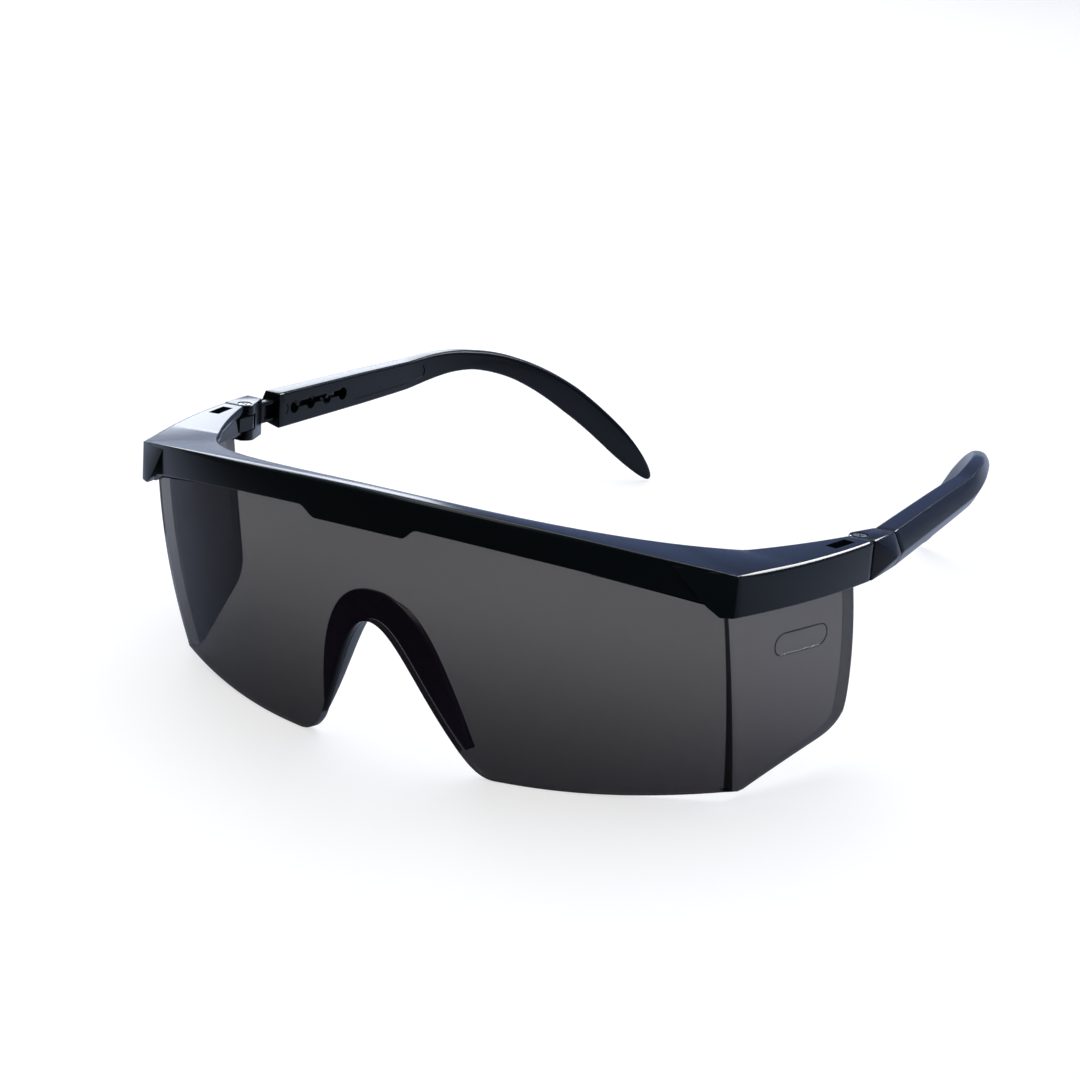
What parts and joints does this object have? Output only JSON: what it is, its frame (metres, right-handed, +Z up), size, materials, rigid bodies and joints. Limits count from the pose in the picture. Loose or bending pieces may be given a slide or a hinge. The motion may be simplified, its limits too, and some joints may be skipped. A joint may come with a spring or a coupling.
{
  "type": "safety spectacles",
  "caption": "Wraparound tinted safety spectacles: one-piece lens with side shields under a browbar, nose bridge, folding temples of adjustable length.",
  "frame": {"origin": "centre of the bounding box at the level of the table that the spectacles rest on, standing on the lens's lower edge and the right temple's tip", "axes": "+Y points back from the lens towards the wearer's ears, +Z is up, +X is the wearer's left"},
  "size_m": [0.1526, 0.1865, 0.0574],
  "materials": {
    "frame_black": "glossy moulded nylon",
    "lens_smoke": "smoke tinted polycarbonate, hard coated",
    "nose_black": "satin soft vinyl",
    "temple_black": "semi-gloss moulded nylon",
    "screw_steel": "nickel plated"
  },
  "bodies": {
    "frame": {"brow_frame": "frame_black", "lens": "lens_smoke", "nose_bridge": "nose_black"},
    "left_hinge": {"left_hinge_block": "temple_black", "left_hinge_screw": "screw_steel"},
    "left_ear": {"left_ear_piece": "temple_black"},
    "right_hinge": {"right_hinge_block": "temple_black", "right_hinge_screw": "screw_steel"},
    "right_ear": {"right_ear_piece": "temple_black"}
  },
  "joints": [
    {"name": "left_fold", "type": "hinge", "parent": "frame", "child": "left_hinge", "pos_m": [0.0702, -0.03051, 0.04453], "axis": [0, 0.0746, 0.9972], "range_deg": [0, 74]},
    {"name": "left_length", "type": "slide", "parent": "left_hinge", "child": "left_ear", "axis": [-0.0638, 0.9965, -0.0545], "range_m": [0, 0.0168]},
    {"name": "right_fold", "type": "hinge", "parent": "frame", "child": "right_hinge", "pos_m": [-0.0702, -0.03051, 0.04453], "axis": [0, -0.0746, -0.9972], "range_deg": [0, 52]},
    {"name": "right_length", "type": "slide", "parent": "right_hinge", "child": "right_ear", "axis": [0.0638, 0.9965, -0.0545], "range_m": [-0.0056, 0.0112]}
  ]
}
